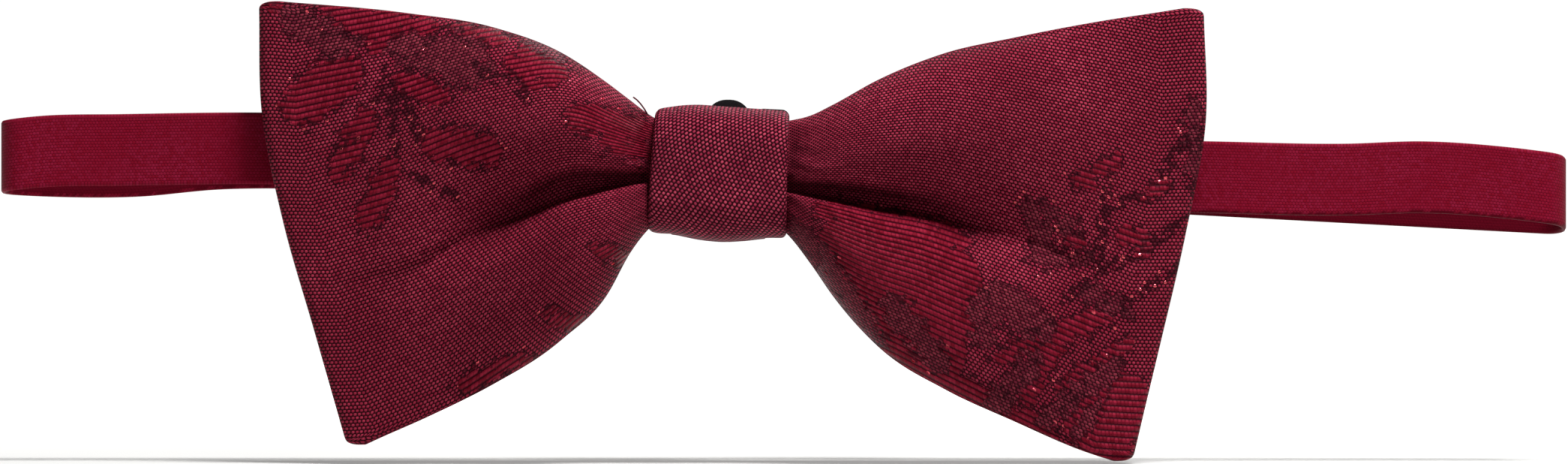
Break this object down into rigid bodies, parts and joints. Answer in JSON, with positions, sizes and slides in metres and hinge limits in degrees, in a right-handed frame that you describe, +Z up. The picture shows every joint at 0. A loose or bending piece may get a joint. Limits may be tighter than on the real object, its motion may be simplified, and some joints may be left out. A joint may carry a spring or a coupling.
{
  "type": "bow tie",
  "caption": "Ready-tied bow tie: two folded fabric wings gathered under a wrapped knot, on an adjustable neck strap that closes with a hook and ring.",
  "frame": {"origin": "the flat back of the knot, where it rests on the collar", "axes": "+X to the right as the bow is looked at from in front, along the strap; +Z up as worn; the bow faces -Y and the neck is on the +Y side"},
  "size_m": [0.2047, 0.0231, 0.0597],
  "materials": {
    "wing_jacquard": "woven jacquard, raised satin figure on a dull ground",
    "knot_twill": "diagonal twill",
    "strap_satin": "satin ribbon",
    "interlining_canvas": "stiff canvas",
    "sewing_thread": "spun thread",
    "black_enamel": "gloss black enamel"
  },
  "bodies": {
    "root": {"left_wing_cloth": "wing_jacquard", "left_wing_interlining": "interlining_canvas", "right_wing_cloth": "wing_jacquard", "right_wing_interlining": "interlining_canvas", "gathering_thread": "sewing_thread", "knot_band": "knot_twill", "knot_band_interlining": "interlining_canvas", "knot_seam_stitches": "sewing_thread", "strap_front_run": "strap_satin", "strap_left_turn": "strap_satin", "strap_left_back_run": "strap_satin", "ring_bar_tack": "sewing_thread", "strap_right_turn": "strap_satin"},
    "ring": {"closure_ring": "black_enamel"},
    "right_strap": {"strap_right_back_run": "strap_satin", "strap_return_run": "strap_satin"},
    "hook": {"closure_hook": "black_enamel"},
    "slide": {"strap_slide": "black_enamel", "strap_sewn_end": "strap_satin", "slide_bar_tack": "sewing_thread"}
  },
  "joints": [
    {"name": "right_strap_swing", "type": "hinge", "parent": "root", "child": "right_strap", "pos_m": [0.1106, 0.00157, -0.0035], "axis": [0, 0, -1], "range_deg": [0, 170], "deforming": ["strap_right_turn"]},
    {"name": "hook_swing", "type": "hinge", "parent": "right_strap", "child": "hook", "pos_m": [0.00835, 0.00625, 0.0018], "axis": [-0.0536, 0, -0.9986], "range_deg": [0, 100]},
    {"name": "slide_adjust", "type": "slide", "parent": "right_strap", "child": "slide", "axis": [0.9986, 0, -0.0536], "range_m": [-0.005, 0.06], "deforming": ["strap_return_run"]},
    {"name": "ring_swing", "type": "hinge", "parent": "root", "child": "ring", "pos_m": [-0.00125, 0.005, 0.0018], "axis": [0, 0, -1], "range_deg": [0, 15]}
  ]
}
